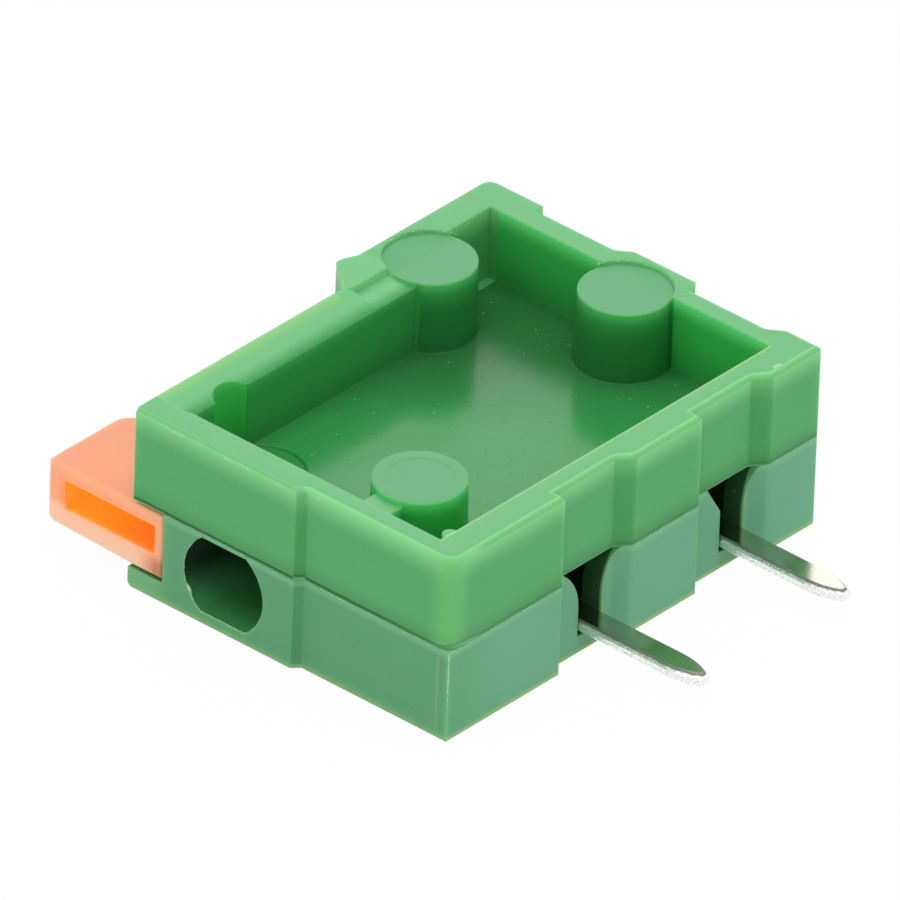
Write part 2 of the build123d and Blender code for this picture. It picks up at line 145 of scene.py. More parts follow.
class Finish:
    """A material under construction, with one Principled shader."""

    def __init__(self, name, **constants):
        self.material = bpy.data.materials.new(name)
        self.material.use_nodes = True
        self.tree = self.material.node_tree
        self.shader = self.tree.nodes["Principled BSDF"]
        for socket, value in constants.items():
            self.shader.inputs[socket.replace("_", " ")].default_value = value

    def node(self, kind, settings=(), sockets=(), output=0):
        """Add a node, give it its settings, fill its sockets, and return one of its outputs."""
        made = self.tree.nodes.new(kind)
        for key, value in dict(settings).items():
            setattr(made, key, value)
        for key, value in dict(sockets).items():
            if isinstance(value, Signal):
                self.tree.links.new(value.socket, made.inputs[key])
            else:
                made.inputs[key].default_value = value
        return Signal(self, made.outputs[output])

    def link(self, **signals):
        """Feed signals to the Principled shader's sockets."""
        for socket, signal in signals.items():
            self.tree.links.new(signal.socket, self.shader.inputs[socket.replace("_", " ")])

    def axis(self, letter, kind="Object"):
        """One number of where a point is, in metres, or with kind Normal of the way it faces."""
        vector = self.node("ShaderNodeTexCoord", output=kind)
        return self.node("ShaderNodeSeparateXYZ", {}, {"Vector": vector}, output=letter)

    def place(self, stretch=(1.0, 1.0, 1.0), turn=0.0):
        """Where a point is on the object, in metres, turned about the z axis and then stretched."""
        where = self.node("ShaderNodeTexCoord", output="Object")
        turned = self.node("ShaderNodeMapping", {}, {"Vector": where, "Rotation": (0.0, 0.0, turn)})
        return self.node("ShaderNodeMapping", {}, {"Vector": turned, "Scale": stretch})

    def noise(self, grain, detail=2.0, stretch=(1.0, 1.0, 1.0), turn=0.0):
        """Smooth noise from 0 to 1 whose blobs are about one grain wide."""
        sockets = {"Vector": self.place(stretch, turn), "Scale": 1 / grain, "Detail": detail}
        return self.node("ShaderNodeTexNoise", {}, sockets)

    def mix(self, share, first, second):
        """A colour that goes from first to second as share goes from 0 to 1."""
        settings = {"data_type": "RGBA"}
        return self.node("ShaderNodeMix", settings, {0: share, 6: first, 7: second}, output=2)


print("a socket knows", [n for n in vars(Signal) if n.startswith("__") and n != "__init__"][:8])

# %% [markdown]
# ## The studio
#
# A small part like this is photographed in a white tent: light comes from everywhere, a little more of it
# from above, and the background is pure white. A stronger lamp would also whiten the floor, but it would
# bleach the plastic too. So the background's white is only what the camera and the reflections see, and
# the light that falls on the block is set apart from it. A small share of the floor stays a real matt
# surface, which keeps the faint shadow under the block.

# %% A white world and a white floor
FILL = 0.62
SHADOW_SHARE = 0.03


def seen_directly(node):
    """1 for camera, mirror and see-through rays, and 0 for the light that falls on surfaces."""
    kinds = [node("ShaderNodeLightPath", output=f"Is {k} Ray") for k in ("Camera", "Glossy", "Transmission")]
    both = kinds[0].maths("MAXIMUM", kinds[0], kinds[1])
    return both.maths("MAXIMUM", both, kinds[2])


world = bpy.data.worlds.new("white_tent")
world.use_nodes = True
bpy.context.scene.world = world
tent = Finish("studio_floor")
surround = Finish("world_nodes")
surround.tree = world.node_tree
shown = seen_directly(surround.node)
background = world.node_tree.nodes["Background"]
background.inputs["Color"].default_value = (1.0, 1.0, 1.0, 1.0)
world.node_tree.links.new((shown * (1 - FILL) + FILL).socket, background.inputs["Strength"])
bpy.data.materials.remove(surround.material)

matt = tent.node("ShaderNodeBsdfDiffuse", {}, {"Color": (0.98, 0.98, 0.98, 1.0)})
glow = tent.node("ShaderNodeEmission", {}, {"Color": (1.0, 1.0, 1.0, 1.0), "Strength": 1.0})
floor_look = tent.node(
    "ShaderNodeMixShader", {}, {0: seen_directly(tent.node) * (1 - SHADOW_SHARE), 1: matt, 2: glow}
)
tent.tree.nodes.remove(tent.shader)
tent.tree.links.new(floor_look.socket, tent.tree.nodes["Material Output"].inputs["Surface"])

reach = 0.5
corners = np.array([[-1, -1], [1, -1], [1, 1], [-1, 1]]) * reach
floor_mesh = bpy.data.meshes.new("floor")
floor_mesh.from_pydata([(x, y, 0.0) for x, y in corners], [], [(0, 1, 2, 3)])
floor_mesh.materials.append(tent.material)
floor = bpy.data.objects.new("floor", floor_mesh)
bpy.context.scene.collection.objects.link(floor)
print("floor is", 2 * reach, "m wide")

# %% [markdown]
# The lamps are two large soft boxes. One hangs above the block and lifts its upward faces over its sides.
# A weaker one stands behind it, where the tray's floor and the rims mirror it towards the camera. Lamps
# far away would give hard little shadows in the tray, so both are wide for their distance.

# %% Hang the lamps
def soft_box(name, place, width, power):
    """A square lamp that looks at the block. Its power in watts over pi squared times the distance
    squared is the brightness that it gives to a white surface which faces it."""
    lamp = bpy.data.lights.new(name, "AREA")
    lamp.size = width
    lamp.energy = power
    lamp_object = bpy.data.objects.new(name, lamp)
    towards = np.array(place) / np.linalg.norm(place)
    side = np.cross([0.13, 1.0, 0.0], towards)
    side /= np.linalg.norm(side)
    matrix = np.eye(4)
    matrix[:3, 0], matrix[:3, 1], matrix[:3, 2] = side, np.cross(towards, side), towards
    matrix[:3, 3] = place
    lamp_object.matrix_world = Matrix(matrix.tolist())
    bpy.context.scene.collection.objects.link(lamp_object)
    given = power / (math.pi ** 2 * np.linalg.norm(place) ** 2)
    print(name, "gives", round(float(given), 2))


soft_box("lamp_above", (0.02, -0.03, 0.34), 0.26, 0.44)
soft_box("lamp_behind", (-0.20, 0.24, 0.20), 0.22, 0.14)

# %% [markdown]
# ## Places on the block
#
# Several finishes change at a certain place: the polished floor of the tray, the joint between the two
# mouldings, the inside of the wire hole. Their places are read off the CAD parts' own boxes where a box
# gives them, so they follow the CAD model. The depth of the tray and its walls are the moulding's own sizes.

# %% Measure the block
BODY_HEIGHT = 9.64 * MM
COVER_WEB = 0.55 * MM
shell_low, shell_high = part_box("housing_shell")
_, cover_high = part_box("housing_cover")
button_low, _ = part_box("release_button")
JOINT = shell_high.z
RIM = cover_high.z
WIRE_FACE = shell_low.y
BACK_FACE = shell_high.y
BOARD_FACE = shell_high.x
TOP_FACE = BOARD_FACE - BODY_HEIGHT
TRAY_FLOOR = JOINT + COVER_WEB
FACE_STEP = 0.2 * MM
print("joint", round(JOINT / MM, 2), "tray floor", round(TRAY_FLOOR / MM, 2), "rim", round(RIM / MM, 2))

# %% [markdown]
# ## What all the plastic has in common
#
# No moulded edge is perfectly sharp. The mould's own edges are rounded by a few hundredths of a
# millimetre, and that thin round catches the light. It could be modelled with a bevel on each edge, but at
# this size it only ever shows as shading, so the Bevel node bends the normals there. On top of it lies the
# skin that the mould's spark-eroded walls print on the part, as a very low bump.
#
# The same Bevel node finds the edges. Where the rounded normal leans away from the plain one, an edge is
# near. With a wide radius that is where light leaves the plastic again after a short way through it, and
# there the colour is painted lighter and warmer, a painted glow. With a narrow radius it is the edge itself,
# which is painted pale: partly from rubbing and slivers of flash, partly a painted highlight where the thin
# round catches the light.
#
# Handling leaves pale dust and a few dark pits. Both are cells of a Voronoi pattern: only a share of the
# cells holds a speck, and the speck is the small disc round that cell's point.

# %% Soft edges, skin and specks
SKIN_DEPTH = 0.003 * MM


def skin(finish, edge, height, depth):
    """The normal of a moulded surface: rounded at its edges, with a height map of that depth over it."""
    soft = finish.node("ShaderNodeBevel", {"samples": 6}, {"Radius": edge})
    sockets = {"Strength": 1.0, "Distance": depth, "Height": height, "Normal": soft}
    return finish.node("ShaderNodeBump", {}, sockets)


def near_edge(finish, radius, low=0.02, high=0.16):
    """How near an edge is, from 0 to 1: 1 minus the cosine of the angle between the plain normal and the
    one that is rounded over the radius, spread by a smooth curve."""
    plain = finish.node("ShaderNodeNewGeometry", output="Normal")
    soft = finish.node("ShaderNodeBevel", {"samples": 8}, {"Radius": radius})
    pair = {0: plain, 1: soft}
    cosine = finish.node("ShaderNodeVectorMath", {"operation": "DOT_PRODUCT"}, pair, output="Value")
    return (1 - cosine).rise(low, high)


def specks(finish, spacing, radius, share):
    """1 inside a speck: nearer to its cell's point than the radius, in the share of cells whose random
    number is high enough. Each speck's size follows the same random number."""
    sockets = {"Vector": finish.place(), "Scale": 1 / spacing}
    apart = finish.node("ShaderNodeTexVoronoi", {}, sockets, output="Distance")
    random = finish.node("ShaderNodeTexVoronoi", {}, sockets, output="Color")
    draw = finish.node("ShaderNodeSeparateColor", {}, {"Color": random}, output="Red")
    size = (draw - (1 - share)) * (radius / spacing / share)
    return (size - apart).rise(0.0, 0.25 * radius / spacing)


def within(across, along, centre, radius):
    """1 inside a circle: the two distances from its centre, squared and added, are less than the radius
    squared."""
    first, second = across - centre[0], along - centre[1]
    return (first * first + second * second) < radius ** 2


# %% [markdown]
# ## The cover's leaf-green plastic
#
# The cover is moulded polyamide in a clear leaf green, and its two kinds of surface differ. The outside was
# printed by a spark-eroded mould: it is satin and looks pale, because its fine grain scatters white light.
# The inside of the tray was shaped by a polished core. It is smooth, so the plastic's own deep green shows,
# and the floor mirrors the white tent and the green walls. The tray's walls are painted lighter near the
# rim, a painted glow, and darker the lower they lie, a painted shade of the tray's depth; the foot of the
# ledge's wall and the sides of the bosses get painted shade too, and the notch's walls stay lighter.
#
# One material does both. Masks made from Object coordinates tell where a point is, which is better than two
# materials on chosen faces: the painted shade on the walls deepens gradually, with no border. The floor has
# scratches, all in one direction, so their noise is turned and stretched.
#
# Light that has gone through the plastic leaves it near the edges, and that light is painted into the
# colour: the outer walls are painted lighter towards the rim and at the sharp corner, a painted glow, and
# darker towards the joint, a painted shade. The ledge, the slopes of the reliefs, the step in the wire face
# and a thin line along the rim's inner edge have masks and tints of their own: the rim's and the ledge's
# upward faces get a paler painted sheen, the ledge's outer edge and the line along the rim's inner edge a
# painted highlight, and the ledge's inner edge, the slopes and the step painted shade.

# %% Masks of the cover
BOSSES = [(-4.29 * MM, 3.13 * MM), (-0.14 * MM, 5.32 * MM), (1.79 * MM, -4.11 * MM)]
BOSS_REACH = 1.22 * MM
CORNER_Y = WIRE_FACE + FACE_STEP

cover = Finish(
    "cover_plastic_look", Subsurface_Weight=0.5, Subsurface_Scale=0.45 * MM, IOR=1.5,
    Subsurface_Radius=(0.35, 1.0, 0.45), Specular_IOR_Level=0.36,
)
x, y, z = (cover.axis(letter) for letter in "XYZ")
upwards = cover.axis("Z", "Normal").rise(0.75, 0.95)
in_tray = (x > TOP_FACE + 0.35 * MM) * (x < BOARD_FACE - 0.7 * MM)
in_tray = in_tray * (y > WIRE_FACE + 0.6 * MM) * (y < BACK_FACE - 0.7 * MM)
on_floor = upwards * in_tray * (z < TRAY_FLOOR + 0.05 * MM)
at_boss = sum(within(x, y, centre, BOSS_REACH) for centre in BOSSES)
on_boss = upwards * at_boss * z.between(RIM - 0.12 * MM, RIM - 0.06 * MM, 0.01 * MM)
on_rim = cover.axis("Z", "Normal").rise(0.93, 0.995) * (z > RIM - 0.25 * MM)
ledge = on_rim * (x < TOP_FACE + 1.02 * MM) * (y < BOSSES[0][1] - 1.0 * MM) * (y > WIRE_FACE + 0.7 * MM)
ledge_wall = in_tray * (x > TOP_FACE + 0.97 * MM) * (x < TOP_FACE + 1.1 * MM) * (y < BOSSES[0][1])
in_notch = (x < TOP_FACE + 0.97 * MM) * (y < WIRE_FACE + 3.2 * MM) * z.rise(RIM - 1.2 * MM, RIM - 0.5 * MM)
rim_line = on_rim * x.between(BOARD_FACE - 0.85 * MM, BOARD_FACE - 0.80 * MM, 0.02 * MM)
rim_line = rim_line * (y > WIRE_FACE + 0.72 * MM) * (y < BACK_FACE - 0.84 * MM)
facing = cover.axis("X", "Normal")
board_side = facing.rise(0.3, 0.9)
on_ramp = board_side * (1 - facing.rise(0.965, 0.995)) * y.rise(CORNER_Y + 0.8 * MM, CORNER_Y + 1.2 * MM)
at_corner = x.rise(BOARD_FACE - 0.8 * MM, BOARD_FACE - 0.1 * MM) * (
    1 - y.rise(CORNER_Y + 0.1 * MM, CORNER_Y + 0.8 * MM)
)
in_step = y.between(WIRE_FACE + 0.03 * MM, CORNER_Y - 0.02 * MM, 0.02 * MM) * (x < BOARD_FACE - 2 * MM)
rib_mark_highlight = on_rim * within(x, y, (BOARD_FACE - 0.06 * MM, 5.2 * MM), 0.16 * MM)
print("cover masks use", len(cover.tree.nodes), "nodes")

# %% Colour of the cover
cloudy = cover.noise(1.6 * MM, 3.0)
fine = cover.noise(0.035 * MM, 3.0)
scratches = cover.noise(0.024 * MM, 2.0, (1.0, 0.010, 1.0), math.radians(20)).rise(0.56, 0.74)
patches = cover.noise(1.4 * MM, 2.0).rise(0.40, 0.62)
drag = scratches * patches * on_floor
dust = specks(cover, 0.17 * MM, 0.030 * MM, 0.5) * (0.12 + on_floor * 0.88)
pits = specks(cover, 0.13 * MM, 0.026 * MM, 0.5) * (0.12 + on_floor * 0.88) * patches.rise(-0.3, 0.8)
# painted glow: the cover's outer walls painted lighter near their edges, where light that went through the
# plastic leaves it
glow = near_edge(cover, 0.70 * MM, 0.01, 0.14) * (1 - in_tray) * z.rise(JOINT + 0.2 * MM, RIM - 0.8 * MM)
# pale rubbed edges and slivers of flash, partly a painted highlight where the thin rounds catch the light
rubbed_and_highlit = near_edge(cover, 0.035 * MM, 0.04, 0.22) * z.rise(RIM - 0.3 * MM, RIM - 0.2 * MM)
rubbed_and_highlit = rubbed_and_highlit * cover.noise(0.22 * MM, 3.0).rise(0.40, 0.60)
# painted highlight: pale flecks along the rounded outer edge of the rim, also raised a little in the bump
highlight_flecks = z.between(RIM - 0.16 * MM, RIM - 0.11 * MM, 0.03 * MM) * (1 - upwards) * (1 - in_tray)
highlight_flecks = highlight_flecks * (x < 1.5 * MM)
highlight_flecks = highlight_flecks * cover.noise(0.07 * MM, 4.0).rise(0.42, 0.62) * cover.noise(0.9 * MM, 1.0).rise(0.36, 0.52)

front_share = (x - y).rise(-6.0 * MM, -1.0 * MM)
leaf = cover.mix(cloudy, (0.094, 0.448, 0.146, 1.0), (0.108, 0.496, 0.168, 1.0))
leaf = cover.mix(fine.rise(0.3, 0.7) * 0.10, leaf, (0.050, 0.300, 0.080, 1.0))
leaf = cover.mix(glow * 0.40, leaf, (0.150, 0.580, 0.165, 1.0))
# painted glow: the outer walls painted lighter towards the rim
leaf = cover.mix(z.rise(RIM - 0.80 * MM, RIM), leaf, (0.265, 0.710, 0.295, 1.0))
# painted shade: the cover painted darker towards the joint
leaf = cover.mix((1 - z.rise(JOINT + 0.05 * MM, JOINT + 0.60 * MM)) * 0.75, leaf, (0.062, 0.345, 0.105, 1.0))
# painted glow: a lighter band at the sharp corner
leaf = cover.mix(at_corner * 0.60, leaf, (0.195, 0.640, 0.210, 1.0))
# painted shade on the step in the wire face
leaf = cover.mix(in_step * 0.28, leaf, (0.035, 0.250, 0.070, 1.0))
# painted sheen: the rim's upward faces painted paler, for the white light they catch from above
leaf = cover.mix(on_rim, leaf, (0.147, 0.505, 0.198, 1.0))
# painted shade on the slopes of the reliefs on the board side
leaf = cover.mix(on_ramp * 0.30 * (1 - upwards), leaf, (0.050, 0.330, 0.070, 1.0))
# painted sheen: the ledge's upward faces painted paler still
leaf = cover.mix(ledge, leaf, (0.160, 0.548, 0.222, 1.0))
# painted highlight on the ledge's rounded outer edge
outer_edge = ledge * (1 - x.rise(TOP_FACE, TOP_FACE + 0.45 * MM)) * (y < 0.35 * MM)
leaf = cover.mix(outer_edge, leaf, (0.265, 0.620, 0.215, 1.0))
# painted shade along the ledge's inner edge, where it drops into the tray
inner_edge = ledge * x.rise(TOP_FACE + 0.55 * MM, TOP_FACE + 1.02 * MM)
leaf = cover.mix(inner_edge, leaf, (0.008, 0.320, 0.052, 1.0))
# painted highlight: a thin light line along the rim's inner edge
leaf = cover.mix(rim_line * 0.75, leaf, (0.380, 0.680, 0.210, 1.0))
# painted highlight: a pale disc where a small mark in the rim catches the light
leaf = cover.mix(rib_mark_highlight * 0.60, leaf, (0.550, 0.800, 0.500, 1.0))
leaf = cover.mix(on_boss, leaf, (0.108, 0.415, 0.167, 1.0))
# painted light and shade in the tray: its walls lighter near the rim, a painted glow, and darker lower down,
# a painted shade
walls = cover.mix(z.rise(RIM - 0.55 * MM, RIM), (0.056, 0.590, 0.120, 1.0), (0.200, 0.880, 0.290, 1.0))
walls = cover.mix(1 - z.rise(TRAY_FLOOR - 0.2 * MM, RIM - 0.65 * MM), walls, (0.044, 0.410, 0.084, 1.0))
# painted shade at the foot of the ledge's wall
walls = cover.mix(ledge_wall * 0.45, walls, (0.020, 0.130, 0.035, 1.0))
boss_shade = at_boss * (1 - ledge_wall) * (0.3 + y.rise(-3.0 * MM, -2.0 * MM) * 0.7)
boss_shade = boss_shade * (0.72 - z.rise(RIM - 1.0 * MM, RIM - 0.1 * MM) * 0.38)
walls = cover.mix(boss_shade, walls, (0.018, 0.120, 0.034, 1.0))
# the notch's walls painted lighter, with less of the tray's painted shade
walls = cover.mix(in_notch * 0.5, walls, (0.090, 0.590, 0.130, 1.0))
leaf = cover.mix(in_tray * (1 - upwards), leaf, walls)
# painted shade: the tray's floor painted darker towards its back-left corner, by the bosses and walls
floor_green = cover.mix(front_share, (0.030, 0.190, 0.050, 1.0), (0.036, 0.325, 0.078, 1.0))
leaf = cover.mix(on_floor, leaf, floor_green)
leaf = cover.mix(rubbed_and_highlit * 0.40, leaf, (0.400, 0.720, 0.330, 1.0))
leaf = cover.mix(highlight_flecks * 0.45, leaf, (0.600, 0.850, 0.600, 1.0))
leaf = cover.mix(drag * 0.15, leaf, (0.200, 0.450, 0.250, 1.0))
leaf = cover.mix(pits * 0.75, leaf, (0.008, 0.045, 0.015, 1.0))
leaf = cover.mix(dust * 0.50, leaf, (0.500, 0.660, 0.420, 1.0))
print("cover colour uses", len(cover.tree.nodes), "nodes")

# %% [markdown]
# Where the cover meets the shell, the joint isn't a ruled line. It shows a pale lip with a soft dark line
# above it, perhaps because the shell's edge swelled when the two were pressed together; the dark line is a
# painted shadow in the joint. Both are painted on the cover by its height over the joint, pushed up and down
# by a noise, and higher at the sharp corner.

# %% The joint, and the cover's finish
at_edge = board_side * (1 - y.rise(CORNER_Y + 0.6 * MM, CORNER_Y + 1.2 * MM))
climb = z - (cover.noise(0.35 * MM, 4.0) - 0.5) * (0.06 * MM) - at_edge * (0.07 * MM)
swollen = 1 - climb.rise(JOINT + 0.010 * MM, JOINT + 0.030 * MM)
# painted shadow: a soft dark line in the joint above the pale lip, also rougher and a little sunk
gap_shadow = climb.between(JOINT + 0.060 * MM, JOINT + 0.080 * MM, 0.050 * MM)
gap_shadow = gap_shadow * (1 - in_tray) * (1 - board_side * 0.60) * (1 - x.rise(2.6 * MM, 3.6 * MM) * 0.35)
leaf = cover.mix(swollen * 0.9, leaf, (0.185, 0.540, 0.240, 1.0))
leaf = cover.mix(gap_shadow * 0.85, leaf, (0.014, 0.120, 0.026, 1.0))
rough_here = 0.40 + fine * 0.08 - on_floor * 0.27 + drag * 0.10 + dust * 0.2
rough_here = rough_here + on_floor * cloudy.rise(0.35, 0.65) * 0.05 - in_tray * (1 - on_floor) * 0.08
bumps = fine * 0.5 * (1 - on_floor * 0.8) + cover.noise(0.4 * MM, 2.0) * (1.5 - on_floor * 1.1)
bumps = bumps - pits * 2.0 + dust * 1.6 - drag * 0.3 - gap_shadow * 1.2 + highlight_flecks * 2.0
cover.link(
    Base_Color=leaf, Roughness=rough_here + gap_shadow * 0.3, Normal=skin(cover, 0.07 * MM, bumps, SKIN_DEPTH)
)
print("cover plastic uses", len(cover.tree.nodes), "nodes")

# %% [markdown]
# ## The shell's bluish-green plastic
#
# The lower moulding looks like another batch of granulate: a shade greyer and bluer, and duller. Its board
# side is tinted the palest, and paler away from the wire face. Where its walls were drawn out of the mould,
# faint upright marks are left. Its bottom edge is light and yellowish. Its sharp corner and its left end are
# painted lighter, a painted glow, its step in the wire face gets painted shade and the edges of the pin
# slots a painted highlight, and inside the wire hole and the pin slots the plastic is painted nearly
# black-green, a painted shade.

# %% Shell plastic
HOLE = np.array([-1.98, WIRE_FACE / MM, 1.31]) * MM
HOLE_RADIUS = 1.24 * MM
HOLE_FLAT = 0.28 * MM

shell = Finish(
    "shell_plastic_look", Subsurface_Weight=0.35, Subsurface_Scale=0.4 * MM, IOR=1.5,
    Subsurface_Radius=(0.4, 1.0, 0.6), Specular_IOR_Level=0.5,
)
x, y, z = (shell.axis(letter) for letter in "XYZ")
facing = shell.axis("X", "Normal")
board_side = facing.rise(0.3, 0.9)
inside = x.rise(TOP_FACE + 0.2 * MM, TOP_FACE + 0.3 * MM)
inside = inside * (1 - x.rise(BOARD_FACE - 0.40 * MM, BOARD_FACE - 0.34 * MM))
inside = inside * y.rise(CORNER_Y + 0.01 * MM, CORNER_Y + 0.12 * MM)
inside = inside * (1 - y.rise(BACK_FACE - 0.45 * MM, BACK_FACE - 0.35 * MM))
inside = inside * z.between(0.1 * MM, JOINT - 0.02 * MM, 0.01 * MM)
in_hole = within(x, z, HOLE[[0, 2]], HOLE_RADIUS + 0.02 * MM)
in_hole = in_hole * y.rise(WIRE_FACE + 0.005 * MM, WIRE_FACE + 0.03 * MM)
in_step = y.between(WIRE_FACE + 0.03 * MM, CORNER_Y - 0.02 * MM, 0.02 * MM) * (x < BOARD_FACE - 2 * MM)
at_corner = x.rise(BOARD_FACE - 0.16 * MM, BOARD_FACE - 0.02 * MM) * (
    1 - y.rise(CORNER_Y + 0.02 * MM, CORNER_Y + 0.16 * MM)
)
left_end = (1 - x.rise(TOP_FACE + 0.5 * MM, TOP_FACE + 1.3 * MM)) * (1 - y.rise(-5.5 * MM, -3.5 * MM))
slot_edge = x.between(BOARD_FACE - 0.36 * MM, BOARD_FACE - 0.31 * MM, 0.01 * MM) * (y < BACK_FACE - MM)
slot_edge = slot_edge * (1 - facing.rise(0.90, 0.98)) * z.between(0.1 * MM, JOINT - 0.2 * MM, 0.02 * MM)
# the board side tinted paler by the way it faces, and paler away from the wire face
on_board = shell.mix(
    y.rise(CORNER_Y + 0.2 * MM, CORNER_Y + 2.4 * MM), (0.122, 0.435, 0.205, 1.0), (0.162, 0.480, 0.274, 1.0)
)
cloudy = shell.noise(1.3 * MM, 3.0)
fine = shell.noise(0.03 * MM, 3.0)
drawn = shell.noise(0.06 * MM, 2.0, (1.0, 1.0, 0.05))
dust = specks(shell, 0.30 * MM, 0.026 * MM, 0.4) * 0.4
pits = specks(shell, 0.34 * MM, 0.028 * MM, 0.4) * 0.5
# painted glow: the shell painted lighter near its edges, where light that went through the plastic leaves it
glow = near_edge(shell, 0.45 * MM, 0.01, 0.14) * (1 - inside)
# pale rubbed edges and slivers of flash, partly a painted highlight where the thin rounds catch the light
rubbed_and_highlit = near_edge(shell, 0.035 * MM, 0.03, 0.18) * (1 - inside) * (1 - in_hole)
rubbed_and_highlit = rubbed_and_highlit * shell.noise(0.25 * MM, 3.0).rise(0.30, 0.50)
foot = 1 - z.rise(0.0, 0.35 * MM)
foot_edge = 1 - z.rise(0.06 * MM, 0.14 * MM)
lip = z.rise(JOINT - 0.24 * MM, JOINT - 0.08 * MM) * (1 - inside) * (1 - in_hole)

teal = shell.mix(cloudy, (0.098, 0.372, 0.168, 1.0), (0.116, 0.410, 0.192, 1.0))
teal = shell.mix(board_side, teal, on_board)
teal = shell.mix(glow * 0.35, teal, (0.125, 0.480, 0.170, 1.0))
teal = shell.mix(drawn.rise(0.55, 0.75) * 0.12, teal, (0.220, 0.500, 0.320, 1.0))
teal = shell.mix(foot * (1 - board_side * 0.5) * 0.6, teal, (0.190, 0.540, 0.210, 1.0))
# painted glow: the left end painted lighter
teal = shell.mix(left_end * 0.75, teal, (0.200, 0.560, 0.240, 1.0))
# painted glow: a lighter band at the sharp corner
teal = shell.mix(at_corner * 0.5, teal, (0.180, 0.560, 0.230, 1.0))
# painted shade on the step in the wire face
teal = shell.mix(in_step * 0.35, teal, (0.035, 0.220, 0.075, 1.0))
teal = shell.mix(lip * 0.55, teal, (0.230, 0.620, 0.290, 1.0))
# painted shade: the shell's inside, behind its walls, painted nearly black-green
teal = shell.mix(inside, teal, (0.018, 0.100, 0.028, 1.0))
# painted shade in the wire hole: nearly black, lighter towards its flat bottom; the mask has no far end in
# y, so the same dark disc is painted on the shell's back face too
hole_look = shell.mix(z.rise(HOLE_FLAT, HOLE[2]), (0.045, 0.290, 0.075, 1.0), (0.003, 0.020, 0.007, 1.0))
teal = shell.mix(in_hole, teal, hole_look)
# painted highlight: a pale line along the edges of the pin slots
teal = shell.mix(slot_edge * 0.80, teal, (0.260, 0.440, 0.130, 1.0))
teal = shell.mix(rubbed_and_highlit * 0.60, teal, (0.440, 0.720, 0.320, 1.0))
teal = shell.mix(foot_edge * (0.35 + board_side * 0.45), teal, (0.380, 0.680, 0.230, 1.0))
teal = shell.mix(pits, teal, (0.010, 0.060, 0.025, 1.0))
teal = shell.mix(dust, teal, (0.550, 0.750, 0.600, 1.0))
bumps = fine * 0.6 + drawn * 0.6 + shell.noise(0.5 * MM, 2.0) * 1.5 + dust * 2.0 - pits * 2.0
shell.link(
    Base_Color=teal, Roughness=0.46 + fine * 0.1 + drawn * 0.05,
    Normal=skin(shell, 0.05 * MM, bumps, SKIN_DEPTH),
)
print("shell plastic uses", len(shell.tree.nodes), "nodes")

# %% [markdown]
# ## The button's orange plastic
#
# The release button is salmon orange outside and a burning orange inside its screwdriver pocket; that
# burning orange, inside the pocket and on the face round it, is painted into the colour as a painted glow of
# the light that comes through the thin walls. The plastic lets much red light through, so the thin walls
# round the pocket light it up from behind. The long red scattering radius makes part of that. The rest is a
# weak painted glow in the emission, which stands for the light that comes through the walls. It fills a box
# drawn round the pocket by the button's own corners, and turns darker and redder towards the housing, a
# painted shade. The face round the pocket glows a little too, except where the housing shades it, and there
# its colour is painted darker, a painted shade.

# %% Button plastic
button = Finish(
    "button_plastic_look", Subsurface_Weight=0.6, Subsurface_Scale=0.7 * MM, IOR=1.5,
    Subsurface_Radius=(1.0, 0.35, 0.12), Specular_IOR_Level=0.5, Emission_Strength=0.30,
)
POCKET_WALL = 0.34 * MM
POCKET_FIN_WALL = 0.52 * MM
POCKET_DEPTH = 1.1 * MM
POCKET_HEIGHT = 0.81 * MM
BUTTON_TOP = 2.33 * MM
pocket_top = BUTTON_TOP - POCKET_WALL
pocket_bottom = pocket_top - POCKET_HEIGHT
x, y, z = (button.axis(letter) for letter in "XYZ")
behind_face = y.between(button_low.y + 0.12 * MM, button_low.y + POCKET_DEPTH + 0.05 * MM, 0.12 * MM)
across = x.between(button_low.x + POCKET_FIN_WALL - 0.02 * MM, TOP_FACE + 0.72 * MM, 0.02 * MM)
in_pocket = behind_face * across * z.between(pocket_bottom - 0.02 * MM, pocket_top + 0.02 * MM, 0.02 * MM)
round_pocket = x.between(button_low.x + POCKET_FIN_WALL, TOP_FACE + 0.6 * MM, 0.26 * MM)
round_pocket = round_pocket * z.between(pocket_bottom, pocket_top - 0.12 * MM, 0.34 * MM)
round_pocket = round_pocket * (1 - y.rise(button_low.y + 0.05 * MM, button_low.y + 0.10 * MM))
fine = button.noise(0.03 * MM, 3.0)
dust = specks(button, 0.30 * MM, 0.030 * MM, 0.4) * 0.6
# painted glow: the button painted lighter near its edges, outside its pocket
glow = near_edge(button, 0.30 * MM) * (1 - in_pocket)
# pale rubbed edges, partly a painted highlight where the thin rounds catch the light
rubbed_and_highlit = near_edge(button, 0.05 * MM, 0.03, 0.16) * (1 - in_pocket)
rubbed_and_highlit = rubbed_and_highlit * button.noise(0.15 * MM, 3.0).rise(0.45, 0.62)
orange = button.mix(button.noise(1.2 * MM, 2.0), (1.0, 0.345, 0.175, 1.0), (1.0, 0.375, 0.200, 1.0))
orange = button.mix(glow * 0.6, orange, (1.0, 0.480, 0.300, 1.0))
shaded = x.rise(TOP_FACE + 0.1 * MM, TOP_FACE + 0.8 * MM) * (1 - z.rise(0.9 * MM, 1.5 * MM))
shaded = shaded * (1 - in_pocket)
# painted glow: the face round the pocket a deeper orange, as if lit through the thin walls
orange = button.mix(round_pocket * 0.80, orange, (1.0, 0.310, 0.070, 1.0))
